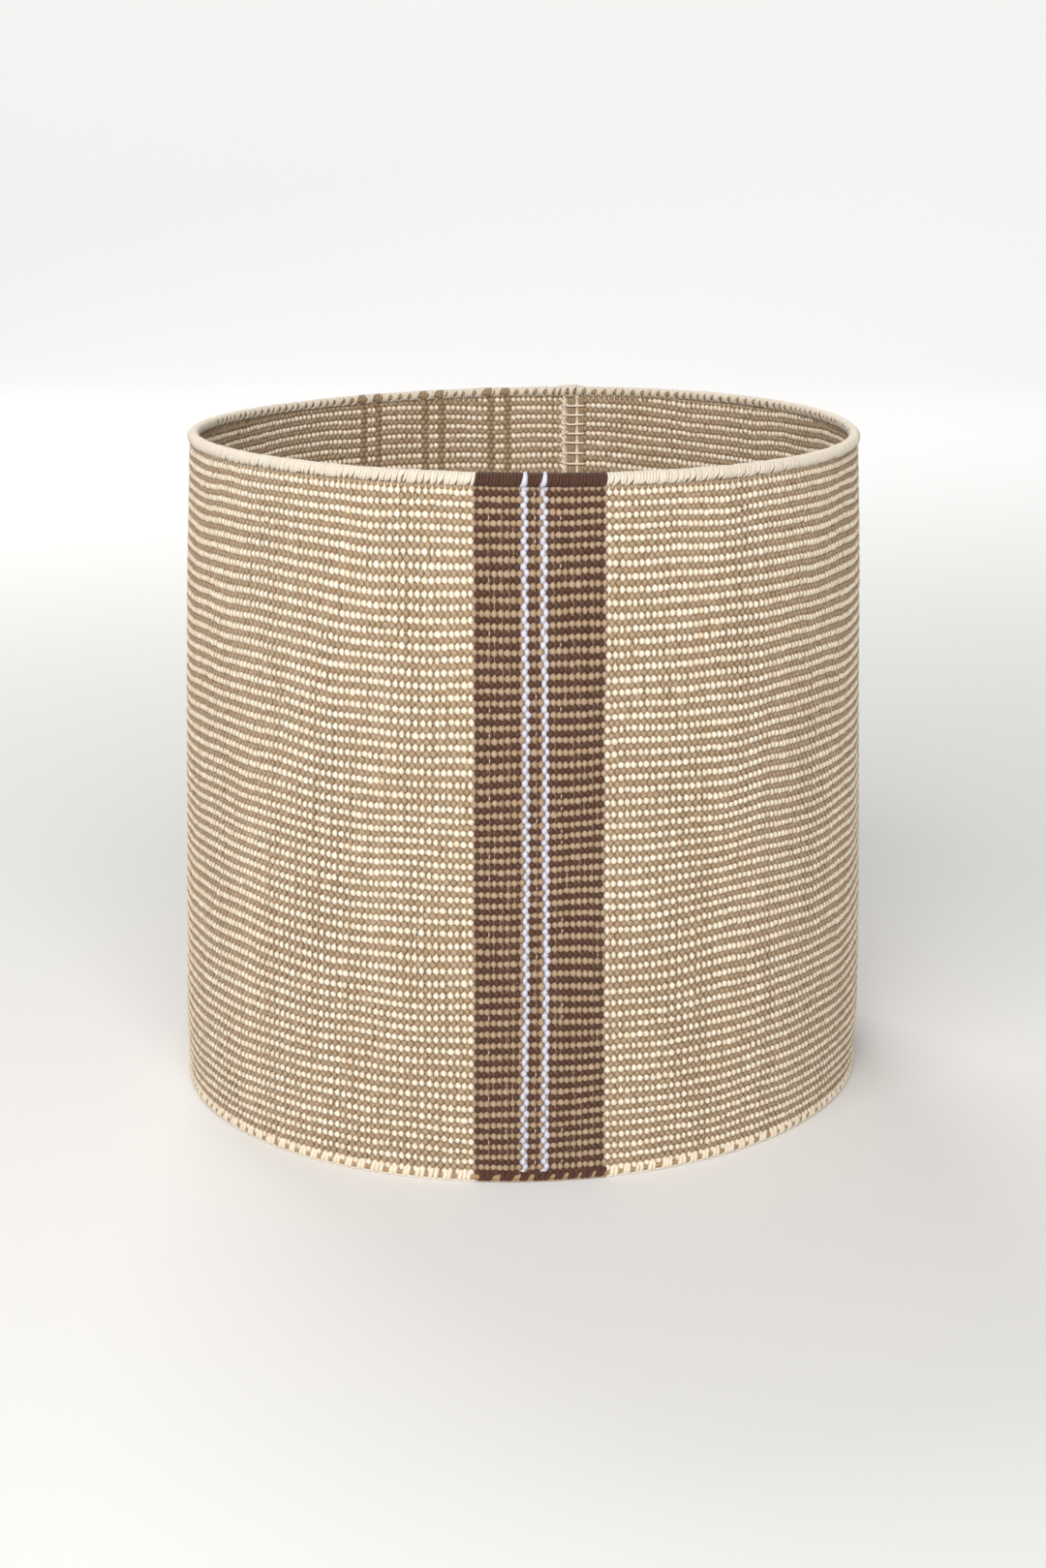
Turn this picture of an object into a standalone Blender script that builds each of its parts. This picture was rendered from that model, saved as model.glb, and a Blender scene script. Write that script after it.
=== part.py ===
"""Kiondo basket: a round, open floor basket of warp-faced cloth.

The wall is one long band of cloth, closed by a laced seam at the back. Its upright yarns lie
in coloured groups, and each group is its own piece: the two-tone ground, the dark front stripe
with two white yarns, and six tan pinstripes beside the seam. The cloth's thin edges enter a
rolled binding at the rim and another at the foot, each wound round a cord. The rim's binding
repeats the colours of the groups under it. A flat woven base lies inside the foot roll.
Metres, +Z up, origin at the middle of the underside, front towards -Y.
"""

import math

import bmesh
import bpy

# Whole basket, and how much further out the foot lies than the rim
RIM_RADIUS = 0.165
FOOT_SPREAD = 0.0116
HEIGHT = 0.327

# Clearance between neighbouring pieces
GAP = 0.0003

# Cloth of the wall, and the thin edge with which it enters the rolls
CLOTH_THICKNESS = 0.0036
EDGE_THICKNESS = 0.0011

# Rolled rim: a cord, the binding round it, and the thicker wrap where the binding's ends meet
RIM_CORD_RADIUS = 0.0011
RIM_BINDING_THICKNESS = 0.0012
JOIN_EXTRA_THICKNESS = 0.0009
JOIN_LENGTH = 0.0168

# Rolled foot: a stouter cord, its binding, and how deep the roll is pressed flat underneath
FOOT_CORD_RADIUS = 0.0013
FOOT_BINDING_THICKNESS = 0.0012
FOOT_FLAT_DEPTH = 0.0004

# Seam at the back: how far its two cords stand proud of the cloth, on both faces
SEAM_CORD_PROUD = 0.0004

# Base
BASE_THICKNESS = 0.0034
BASE_EDGE_ROUND = 0.0008

# The wall's upright yarns lie in pairs, counted round the basket to the right from the left
# edge of the stripe, which lies STRIPE_START_PAIRS to the right of the front. The stripe's
# pairs lie a little closer than the ground's, and the seam's and pinstripes' widths are
# shares of a pair
PAIRS_ROUND = 343
STRIPE_START_PAIRS = -7.0
STRIPE_PAIR_SHARE = 0.96
STRIPE_GROUPS = (
    ("stripe_cloth_left", "brown_yarn", 7),
    ("white_yarn_left", "white_yarn", 1),
    ("stripe_cloth_middle", "brown_yarn", 2),
    ("white_yarn_right", "white_yarn", 1),
    ("stripe_cloth_right", "brown_yarn", 9),
)
GROUND_RIGHT_PAIRS = 149
SEAM_CORD_PAIR_SHARE = 0.6
SEAM_LACING_PAIR_SHARE = 1.8
SEAM_TO_PINSTRIPE_PAIRS = 10
PINSTRIPE_PAIR_SHARE = 1.2
PINSTRIPE_INNER_PAIRS = 2
PINSTRIPE_OUTER_PAIRS = 8
PINSTRIPE_COUNT = 6

# Facets, the distance under which points are one, and the angle past which an edge is sharp
MERGE_DISTANCE = 0.00001
SHARP_ANGLE = math.radians(50)
ROUND_STEPS = 96
CORD_SIDES = 6
BINDING_OUTER_STEPS = 8
BINDING_INNER_STEPS = 5
BASE_ROUND_SEGMENTS = 2

# Colours as seen, 0 to 255, and roughness
FINISHES = {
    "cream_yarn": ((240, 226, 200), 0.85),
    "two_tone_cloth": ((219, 197, 168), 0.85),
    "tan_yarn": ((182, 150, 118), 0.85),
    "brown_yarn": ((112, 84, 70), 0.8),
    "white_yarn": ((216, 219, 236), 0.6),
    "core_cord": ((170, 146, 112), 0.9),
    "base_cloth": ((214, 192, 160), 0.9),
}

# Worked out from the sizes above
FOOT_RADIUS = RIM_RADIUS + FOOT_SPREAD
RIM_ROLL_RADIUS = RIM_CORD_RADIUS + GAP + RIM_BINDING_THICKNESS
FOOT_ROLL_RADIUS = FOOT_CORD_RADIUS + GAP + FOOT_BINDING_THICKNESS
RIM_LINE_RADIUS = RIM_RADIUS - RIM_ROLL_RADIUS
RIM_LINE_HEIGHT = HEIGHT - RIM_ROLL_RADIUS
FOOT_LINE_RADIUS = FOOT_RADIUS - FOOT_ROLL_RADIUS
FOOT_LINE_HEIGHT = FOOT_ROLL_RADIUS - FOOT_FLAT_DEPTH
FULL_TURN = 2 * math.pi
PAIR_TURN = FULL_TURN / PAIRS_ROUND
GAP_TURN = GAP / RIM_LINE_RADIUS
UP = FULL_TURN / 4


def slit_half_angle(cord_radius):
    """Half the slit of a binding, as seen from its cord, that clears the cloth's thin edge."""
    return math.asin((EDGE_THICKNESS / 2 + GAP) / (cord_radius + GAP))


RIM_BINDING_DROP = RIM_ROLL_RADIUS * math.cos(slit_half_angle(RIM_CORD_RADIUS))
FOOT_BINDING_RISE = FOOT_ROLL_RADIUS * math.cos(slit_half_angle(FOOT_CORD_RADIUS))


def cloth_radius(height):
    """Radius of the middle of the cloth, which leans in evenly from the foot to the rim."""
    share = (height - FOOT_LINE_HEIGHT) / (RIM_LINE_HEIGHT - FOOT_LINE_HEIGHT)
    return FOOT_LINE_RADIUS + (RIM_LINE_RADIUS - FOOT_LINE_RADIUS) * share


def cloth_section(thickness):
    """Upright section of the wall as (radius, height): a slab with a thin edge at each end."""
    levels = (
        (FOOT_LINE_HEIGHT + FOOT_CORD_RADIUS + GAP, EDGE_THICKNESS),
        (FOOT_LINE_HEIGHT + FOOT_BINDING_RISE + GAP, EDGE_THICKNESS),
        (FOOT_LINE_HEIGHT + FOOT_BINDING_RISE + GAP, thickness),
        (RIM_LINE_HEIGHT - RIM_BINDING_DROP - GAP, thickness),
        (RIM_LINE_HEIGHT - RIM_BINDING_DROP - GAP, EDGE_THICKNESS),
        (RIM_LINE_HEIGHT - RIM_CORD_RADIUS - GAP, EDGE_THICKNESS),
    )
    inner = [(cloth_radius(z) - wide / 2, z) for z, wide in levels]
    outer = [(cloth_radius(z) + wide / 2, z) for z, wide in reversed(levels)]
    return inner + outer


def arc(centre, radius, start, end, steps):
    """Points on an arc round centre, both ends included."""
    turns = [start + (end - start) * i / steps for i in range(steps + 1)]
    return [
        (centre[0] + radius * math.cos(a), centre[1] + radius * math.sin(a))
        for a in turns
    ]


def binding_section(centre, inner_radius, outer_radius, slit_way, slit_half):
    """Section of a binding: a ring round the cord, open towards slit_way."""
    start = slit_way - slit_half
    end = slit_way + slit_half - FULL_TURN
    outside = arc(centre, outer_radius, start, end, BINDING_OUTER_STEPS)
    inside = arc(centre, inner_radius, end, start, BINDING_INNER_STEPS)
    return outside + inside


def rim_section(extra_thickness=0):
    """Rim binding, open downwards. A thicker one ends at the same height above the cloth."""
    outer_radius = RIM_ROLL_RADIUS + extra_thickness
    return binding_section(
        (RIM_LINE_RADIUS, RIM_LINE_HEIGHT),
        RIM_CORD_RADIUS + GAP,
        outer_radius,
        -UP,
        math.acos(RIM_BINDING_DROP / outer_radius),
    )


def foot_section():
    """Foot binding, open upwards and pressed flat where it meets the ground."""
    section = binding_section(
        (FOOT_LINE_RADIUS, FOOT_LINE_HEIGHT),
        FOOT_CORD_RADIUS + GAP,
        FOOT_ROLL_RADIUS,
        UP,
        slit_half_angle(FOOT_CORD_RADIUS),
    )
    return [(radius, max(height, 0)) for radius, height in section]


def turned(section, start, end):
    """Closed solid swept round Z by a section, from one angle to another, from -Y towards +X."""
    bm = bmesh.new()
    corners = [
        bm.verts.new((radius * math.sin(start), -radius * math.cos(start), height))
        for radius, height in section
    ]
    face = bm.faces.new(corners)
    steps = max(1, math.ceil(ROUND_STEPS * (end - start) / FULL_TURN))
    bmesh.ops.spin(
        bm,
        geom=[face, *face.edges, *face.verts],
        cent=(0, 0, 0),
        axis=(0, 0, 1),
        angle=end - start,
        steps=steps,
    )
    bmesh.ops.recalc_face_normals(bm, faces=bm.faces)
    return mesh_from(bm)


def mesh_from(bm):
    """Mesh of a finished bmesh, with its round sides shaded smooth."""
    mesh = bpy.data.meshes.new("basket_piece")
    bm.to_mesh(mesh)
    bm.free()
    mesh.shade_smooth()
    mesh.set_sharp_from_angle(angle=SHARP_ANGLE)
    return mesh


def linear(value):
    """One colour channel, 0 to 255 as seen, in the linear scale that shaders use."""
    share = value / 255
    return share / 12.92 if share <= 0.04045 else ((share + 0.055) / 1.055) ** 2.4


def finish_material(name):
    """Yarn material of that name, made once."""
    material = bpy.data.materials.get(name)
    if material:
        return material
    colour, roughness = FINISHES[name]
    material = bpy.data.materials.new(name)
    material.use_nodes = True
    shader = material.node_tree.nodes["Principled BSDF"]
    shader.inputs["Base Color"].default_value = (*map(linear, colour), 1)
    shader.inputs["Roughness"].default_value = roughness
    shader.inputs["Metallic"].default_value = 0
    return material


def add_piece(name, mesh, finish, basket, collection):
    """One sub-part, parented to the basket's empty."""
    piece = bpy.data.objects.new(name, mesh)
    mesh.materials.append(finish_material(finish))
    piece.parent = basket
    collection.objects.link(piece)
    return piece


def wall_groups():
    """(name, finish, width in pairs, how far it stands proud) of each group, round the wall."""
    groups = [
        (name, finish, pairs * STRIPE_PAIR_SHARE, 0) for name, finish, pairs in STRIPE_GROUPS
    ]
    groups.append(("ground_cloth_right", "two_tone_cloth", GROUND_RIGHT_PAIRS, 0))
    groups.append(("seam_cord_right", "cream_yarn", SEAM_CORD_PAIR_SHARE, SEAM_CORD_PROUD))
    groups.append(("seam_lacing", "tan_yarn", SEAM_LACING_PAIR_SHARE, 0))
    groups.append(("seam_cord_left", "cream_yarn", SEAM_CORD_PAIR_SHARE, SEAM_CORD_PROUD))
    for i in range(PINSTRIPE_COUNT):
        if i == 0:
            pairs = SEAM_TO_PINSTRIPE_PAIRS
        else:
            pairs = PINSTRIPE_INNER_PAIRS if i % 2 else PINSTRIPE_OUTER_PAIRS
        groups.append((f"ground_cloth_back_{i + 1}", "two_tone_cloth", pairs, 0))
        groups.append((f"pinstripe_yarn_{i + 1}", "tan_yarn", PINSTRIPE_PAIR_SHARE, 0))
    rest = PAIRS_ROUND - sum(pairs for _, _, pairs, _ in groups)
    groups.append(("ground_cloth_left", "two_tone_cloth", rest, 0))
    return groups


def group_angles():
    """Start and end angle of each group of the wall by name, with the gaps between them."""
    places = {}
    edge = STRIPE_START_PAIRS * PAIR_TURN
    for name, _, pairs, _ in wall_groups():
        following = edge + pairs * PAIR_TURN
        places[name] = (edge + GAP_TURN / 2, following - GAP_TURN / 2)
        edge = following
    return places


def make_wall(places, basket, collection):
    """The upright groups of the cloth."""
    for name, finish, _, proud in wall_groups():
        section = cloth_section(CLOTH_THICKNESS + 2 * proud)
        add_piece(name, turned(section, *places[name]), finish, basket, collection)


def rim_parts(places):
    """(name, finish, section, start, end) of each piece of the rim's binding."""
    section = rim_section()
    seam = sum(places["seam_lacing"]) / 2
    join_start = seam - JOIN_LENGTH / 2 / RIM_LINE_RADIUS
    join_end = seam + JOIN_LENGTH / 2 / RIM_LINE_RADIUS
    join = (join_start + GAP_TURN, join_end - GAP_TURN)
    parts = [
        ("rim_" + name.replace("_cloth", "").replace("_yarn", ""), finish, section, *places[name])
        for name, finish, _ in STRIPE_GROUPS
    ]
    right_start = places["ground_cloth_right"][0]
    parts.append(("rim_binding_right", "cream_yarn", section, right_start, join_start))
    parts.append(("rim_join_wrap", "cream_yarn", rim_section(JOIN_EXTRA_THICKNESS), *join))
    start = join_end
    for i in range(1, PINSTRIPE_COUNT + 1):
        end = places[f"ground_cloth_back_{i}"][1]
        pinstripe = places[f"pinstripe_yarn_{i}"]
        parts.append((f"rim_binding_back_{i}", "cream_yarn", section, start, end))
        parts.append((f"rim_pinstripe_{i}", "tan_yarn", section, *pinstripe))
        start = pinstripe[1] + GAP_TURN
    left_end = places["ground_cloth_left"][1]
    parts.append(("rim_binding_left", "cream_yarn", section, start, left_end))
    return parts


def make_rim(places, basket, collection):
    """The rim's binding, thicker where its two ends meet over the seam."""
    for name, finish, section, start, end in rim_parts(places):
        add_piece(name, turned(section, start, end), finish, basket, collection)


def make_foot(places, basket, collection):
    """The foot's binding: dark under the stripe and cream elsewhere."""
    stripe = (
        places[STRIPE_GROUPS[0][0]][0],
        places[STRIPE_GROUPS[-1][0]][1],
    )
    ground = (places["ground_cloth_right"][0], places["ground_cloth_left"][1])
    for name, finish, ends in (
        ("foot_stripe", "brown_yarn", stripe),
        ("foot_binding", "cream_yarn", ground),
    ):
        add_piece(name, turned(foot_section(), *ends), finish, basket, collection)


def make_cord(name, line_radius, line_height, cord_radius, basket, collection):
    """A cord that runs all the way round inside a binding."""
    points = arc((line_radius, line_height), cord_radius, UP, UP - FULL_TURN, CORD_SIDES)[:-1]
    mesh = bpy.data.meshes.new(name)
    edges = [(i, (i + 1) % CORD_SIDES) for i in range(CORD_SIDES)]
    mesh.from_pydata([(radius, 0, height) for radius, height in points], edges, [])
    cord = add_piece(name, mesh, "core_cord", basket, collection)
    screw = cord.modifiers.new("turn", "SCREW")
    screw.steps = ROUND_STEPS
    screw.render_steps = ROUND_STEPS
    screw.use_merge_vertices = True
    screw.merge_threshold = MERGE_DISTANCE
    screw.use_smooth_shade = True
    return cord


def make_base(basket, collection):
    """The flat woven base, inside the foot roll and level with the ground."""
    bm = bmesh.new()
    radius = FOOT_LINE_RADIUS - FOOT_ROLL_RADIUS - GAP
    bmesh.ops.create_cone(
        bm,
        cap_ends=True,
        segments=ROUND_STEPS,
        radius1=radius,
        radius2=radius,
        depth=BASE_THICKNESS,
    )
    base = add_piece("base_cloth", mesh_from(bm), "base_cloth", basket, collection)
    base.location.z = BASE_THICKNESS / 2
    bevel = base.modifiers.new("soft_edge", "BEVEL")
    bevel.width = BASE_EDGE_ROUND
    bevel.segments = BASE_ROUND_SEGMENTS
    bevel.limit_method = "ANGLE"
    return base


def build():
    """Clears the scene and makes the basket."""
    for old in list(bpy.data.objects):
        bpy.data.objects.remove(old, do_unlink=True)
    collection = bpy.data.collections.new("kiondo_basket")
    bpy.context.scene.collection.children.link(collection)
    basket = bpy.data.objects.new("kiondo_basket_origin", None)
    collection.objects.link(basket)
    places = group_angles()
    make_wall(places, basket, collection)
    make_rim(places, basket, collection)
    make_foot(places, basket, collection)
    make_cord(
        "rim_cord", RIM_LINE_RADIUS, RIM_LINE_HEIGHT, RIM_CORD_RADIUS, basket, collection
    )
    make_cord(
        "foot_cord", FOOT_LINE_RADIUS, FOOT_LINE_HEIGHT, FOOT_CORD_RADIUS, basket, collection
    )
    make_base(basket, collection)


build()
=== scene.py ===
"""Kiondo basket: its woven surface, yarn by yarn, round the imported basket, with light and camera.

The wall is a warp-faced plain weave. Upright yarns lie in pairs: the first of a pair is out on
one row, the second on the next, so that rows of cream beads alternate with rows of tan ones.
Angles round the basket, called turns, run from the front (-Y) towards +X.
"""

import math
from typing import NamedTuple

import bpy
import numpy as np
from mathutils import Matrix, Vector


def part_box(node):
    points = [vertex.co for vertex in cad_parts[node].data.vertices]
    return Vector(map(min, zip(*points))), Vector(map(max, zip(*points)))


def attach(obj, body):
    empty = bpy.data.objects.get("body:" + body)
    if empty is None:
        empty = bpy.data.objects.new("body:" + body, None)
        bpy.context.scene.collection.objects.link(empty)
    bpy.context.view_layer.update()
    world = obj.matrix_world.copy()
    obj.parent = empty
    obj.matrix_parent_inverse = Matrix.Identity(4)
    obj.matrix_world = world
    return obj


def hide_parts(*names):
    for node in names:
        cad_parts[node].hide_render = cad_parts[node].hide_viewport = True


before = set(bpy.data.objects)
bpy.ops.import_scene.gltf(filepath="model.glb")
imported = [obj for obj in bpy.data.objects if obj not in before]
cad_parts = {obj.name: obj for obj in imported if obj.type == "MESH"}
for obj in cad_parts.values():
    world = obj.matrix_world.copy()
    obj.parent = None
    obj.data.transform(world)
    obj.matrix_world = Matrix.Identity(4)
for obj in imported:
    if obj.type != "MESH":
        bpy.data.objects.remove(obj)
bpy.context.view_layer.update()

FULL_TURN = 2 * math.pi
QUARTER_TURN = math.pi / 2
MM = 0.001
rng = np.random.default_rng(357)

# Counts of the weave: warp pairs round the wall, and rows of cream beads, each with a tan one
PAIRS_ROUND = 343
CREAM_ROWS = 57
FIRST_ROW_HEIGHT = 9.7 * MM
LAST_ROW_HEIGHT = 318.7 * MM
ROW_SPACING_SHARES = (0.93, 0.985, 0.98, 1.06, 0.96, 0.94, 1.025, 1.02, 1.055, 1.075, 0.94)

# Warp yarns: how far a bead stands out from the cloth's middle, and how far each kind lies
# further out or in than that
WARP_SWING = 1.04 * MM
SHIFTS = {"cream": 0.03 * MM, "tan": -0.03 * MM, "dark_tan": 0.08 * MM, "brown": -0.08 * MM}

# A bead's half sizes, and its rings: where they lie, in rows from its middle, and their shares
# of the half sizes
BEAD_HALF_WIDTHS = {
    "cream": 1.74 * MM,
    "tan": 1.68 * MM,
    "dark_tan": 1.58 * MM,
    "brown": 1.66 * MM,
    "white": 1.36 * MM,
    "pinstripe": 1.86 * MM,
}
BEAD_HALF_THICKNESSES = {"cream": 1.04 * MM, "white": 0.86 * MM}
FLAT_BEAD_HALF_THICKNESS = 0.84 * MM
WARP_SIDES = 6
RING_SHARES = np.array([-0.5, -0.14, 0.14])
NECK_WIDTH_SHARES = {"cream": 0.42, "white": 0.8, "dark_tan": 0.44, "brown": 0.56, "pinstripe": 0.8}
TAN_NECK_WIDTH_SHARE = 0.54
NECK_THICKNESS_SHARE = 0.76
MOST_WARPS = 44

# The last row under the rim: the cream yarns lie hidden between the tan ones, which are wider
# and deeper there by these shares
TUCK_HEIGHT = 320.4 * MM
TUCKED_WIDTH_SHARE = 0.4
LAST_BEAD_SHARES = (1.15, 1.7)

# How uneven the hand weaving is, and how much painted shade darkens the ends of each bead, where its yarn
# dives into the cloth
WANDER = 0.13 * MM
WIDTH_SPREAD_SHARE = 0.11
SWING_SPREAD_SHARE = 0.1
BEAD_LIFT = 0.16 * MM
ROW_WAVE = 0.6 * MM
BEAD_TONE = 0.56
NECK_PAINTED_SHADE = 0.5
YARN_TONE_SPREAD = 0.08
BEAD_TONE_SPREAD = 0.13
CROWDING_SHARE = 0.22
DENT_DEPTH = 0.9 * MM

# Soft shape: the rim rises and falls a little, and the foot is not quite round
RIM_WAVE = 1.4 * MM
FRONT_WAVE_SHARE = 0.5
FOOT_OVAL = 1.7 * MM
FOOT_SKEW = 3.6 * MM
FOOT_THIRD = 1.5 * MM
BACK_FADE = 0.6
SIDE_BELLY = 1.3 * MM
CORNER_TUCK = 1.6 * MM

# How far the rows rise between the foot and the rim at the front, in mm at these turns in degrees
FRONT_DEGREES = (-70, -58, -46, -40, -31, -23, -15, -7, 1, 8, 20, 28, 42, 54, 70)
FRONT_RISES = (0, 1.0, 1.8, 1.4, -1.2, -2.0, -1.9, -0.2, 1.3, 1.1, 0.3, 0.9, 1.4, -0.5, 0)

# How far they rise at the back. They step at the seam.
BACK_DEGREES = (110, 130, 147, 158, 171.5, 172, 186, 195, 208, 228, 250)
BACK_RISES = (0, -3.2, -2.9, -0.1, 0.5, -1.1, -1.2, 0.9, 2.0, 1.3, 0)

# Weft: a core in every row, and in cream rows a thin thread that shows here and there
WEFT_HALF_DEPTH = 0.45 * MM
WEFT_HALF_HEIGHT = 1.5 * MM
THREAD_HALF_DEPTH = 0.8 * MM
THREAD_DEPTH_SPREAD = 0.3 * MM
THREAD_HALF_HEIGHT = 0.2 * MM
EDGE_HALF_THICKNESS = 0.7 * MM
WEFT_STEPS_PER_TURN = 180

# Colours as seen, 0 to 255
CREAM = (248, 234, 214)
RIM_CREAM = (229, 220, 206)
TAN = (176, 153, 126)
DARK_TAN = (178, 153, 127)
PINSTRIPE_TAN = (166, 142, 114)
BROWN = (90, 60, 48)
WHITE = (208, 209, 224)
CORE_TAN = (184, 160, 126)
FLOOR_GREY = (228, 227, 225)
BACKDROP_GLOW = 0.55
WORLD_LIGHT = 0.26
WORLD_SEEN = 0.85

# Photograph's camera: distance in front of the axis, height, tilt and lens
CAMERA_PLACE = (-0.0004, -1.3, 0.4983)
CAMERA_PITCH = math.radians(15.28)
CAMERA_LENS = 60.32
CAMERA_SENSOR = 36.0


def centre_line(node):
    """Radius and height of the middle of a cord that runs round the basket."""
    low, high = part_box(node)
    height = (low.z + high.z) / 2
    cord_radius = (high.z - low.z) / 2
    return high.x - cord_radius * math.cos(FULL_TURN / 12), height


RIM_LINE_RADIUS, RIM_LINE_HEIGHT = centre_line("rim_cord")
FOOT_LINE_RADIUS, FOOT_LINE_HEIGHT = centre_line("foot_cord")
RIM_ROLL_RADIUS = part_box("rim_binding_left")[1].z - RIM_LINE_HEIGHT
FOOT_ROLL_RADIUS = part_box("foot_binding")[1].x - FOOT_LINE_RADIUS
PAIR_TURN = FULL_TURN / PAIRS_ROUND
PICKS = 2 * CREAM_ROWS


def node_turns(node):
    """Start and end turn of a CAD node of the wall."""
    points = np.array([v.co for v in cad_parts[node].data.vertices])
    turns = np.arctan2(points[:, 0], -points[:, 1])
    middle = math.atan2(points[:, 0].mean(), -points[:, 1].mean())
    apart = np.mod(turns - middle + math.pi, FULL_TURN) - math.pi
    return middle + apart.min(), middle + apart.max()


def ripple(count, least, most, rises):
    """A smooth random field over the wall, as a function of turn and height, about 1 high."""
    rounds = rng.integers(least, most + 1, count)
    climbs = rng.uniform(-rises, rises, count)
    phases = rng.uniform(0, FULL_TURN, count)

    def field(turn, height):
        level = height / RIM_LINE_HEIGHT * FULL_TURN
        waves = [np.sin(r * turn + c * level + p) for r, c, p in zip(rounds, climbs, phases)]
        return sum(waves) / math.sqrt(count)

    return field


dents = ripple(7, 4, 13, 1.5)
row_waves = ripple(10, 3, 26, 2.5)
crowding = ripple(8, 9, 31, 1.2)


def foot_spread(turn):
    """How far the foot lies outside a true circle, at the front, which the photograph shows."""
    twofold = FOOT_OVAL * np.cos(2 * turn) - FOOT_SKEW * np.sin(2 * turn)
    seen = np.clip(1 + np.cos(turn) / BACK_FADE, 0, 1)
    return seen * (twofold - FOOT_THIRD * np.cos(3 * turn))


def on_wall(turn, height, out):
    """Points on the basket, out from the cloth's middle, in its soft shape."""
    run = RIM_LINE_HEIGHT - FOOT_LINE_HEIGHT
    share = np.clip((height - FOOT_LINE_HEIGHT) / run, 0, 1)
    foot = FOOT_LINE_RADIUS + foot_spread(turn)
    belly = np.sin(math.pi * share) * DENT_DEPTH * dents(turn, height)
    side = np.sin(turn) ** 2
    belly = belly + SIDE_BELLY * side * np.interp(share, [0, 0.1, 0.3, 0.8, 1], [0, 0.7, 1, 0.6, 0])
    belly = belly - CORNER_TUCK * side * np.clip(1 - share / 0.16, 0, 1) ** 2
    radius = foot + (RIM_LINE_RADIUS - foot) * share + belly + out
    wave = RIM_WAVE * np.where(np.cos(turn) > 0, FRONT_WAVE_SHARE, 1.0)
    z = height - wave * np.sin(2 * turn) * share
    return np.stack([radius * np.sin(turn), -radius * np.cos(turn), z + 0 * radius], -1)


def across(turn):
    """Unit vectors round the basket."""
    return np.stack([np.cos(turn), np.sin(turn), 0 * turn], -1)


def row_height(pick):
    """Height of a row, counted in picks: 0 is the tan row in the foot, and cream rows are odd."""
    marks = np.linspace(0, PICKS, len(ROW_SPACING_SHARES) + 1)
    rise = np.concatenate([[0], np.cumsum(ROW_SPACING_SHARES)]) / sum(ROW_SPACING_SHARES)
    first, last = np.interp([1, PICKS - 1], marks, rise)
    scale = (LAST_ROW_HEIGHT - FIRST_ROW_HEIGHT) / (last - first)
    inside = np.interp(pick, marks, rise)
    beyond = (np.minimum(pick, 0) + np.maximum(pick - PICKS, 0)) / PICKS
    return FIRST_ROW_HEIGHT + (inside + beyond - first) * scale


def sweep(path, width_way, half_width, half_thickness, sides):
    """Rings (tubes, steps, sides, 3) of tubes along paths (tubes, steps, 3), a corner on top."""
    along = np.gradient(path, axis=1)
    top = np.cross(width_way, along)
    top /= np.linalg.norm(top, axis=-1, keepdims=True)
    corners = QUARTER_TURN + np.arange(sides) * FULL_TURN / sides
    wide = np.multiply.outer(half_width, np.cos(corners))[..., None]
    high = np.multiply.outer(half_thickness, np.sin(corners))[..., None]
    return path[:, :, None] + wide * width_way[:, :, None] + high * top[:, :, None]


def closed_sweep(path, width_way, half_width, half_thickness, sides):
    """Rings of tubes along closed paths."""
    wrapped = np.concatenate([path[:, -1:], path, path[:, :1]], 1)
    along = (wrapped[:, 2:] - wrapped[:, :-2]) / 2
    top = np.cross(width_way, along)
    top /= np.linalg.norm(top, axis=-1, keepdims=True)
    corners = QUARTER_TURN + np.arange(sides) * FULL_TURN / sides
    wide = np.multiply.outer(half_width, np.cos(corners))[..., None] * width_way[:, :, None]
    high = np.multiply.outer(half_thickness, np.sin(corners))[..., None] * top[:, :, None]
    return path[:, :, None] + wide + high


def tube_faces(tubes, steps, sides, closed):
    """Quads of tubes, with the corners' places round and along each, as (face, corner) arrays."""
    spans = steps if closed else steps - 1
    t, s, i = np.meshgrid(np.arange(tubes), np.arange(spans), np.arange(sides), indexing="ij")
    corner_steps = np.stack([s, s, s + 1, s + 1], -1).reshape(-1, 4)
    corner_sides = np.stack([i, i + 1, i + 1, i], -1).reshape(-1, 4)
    tube = t.reshape(-1, 1)
    quads = (tube * steps + corner_steps % steps) * sides + corner_sides % sides
    return quads, corner_sides / sides, corner_steps


def points_inwards(rings, quads):
    """Whether tubes are inside out, from the space that each one's quads enclose."""
    points = (rings - rings.mean((1, 2), keepdims=True)).reshape(-1, 3)
    a, b, c, d = (points[quads[:, i]] for i in range(4))
    volume = np.einsum("ij,ij->", np.cross(a, b), c) + np.einsum("ij,ij->", np.cross(a, c), d)
    return volume < 0


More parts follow.
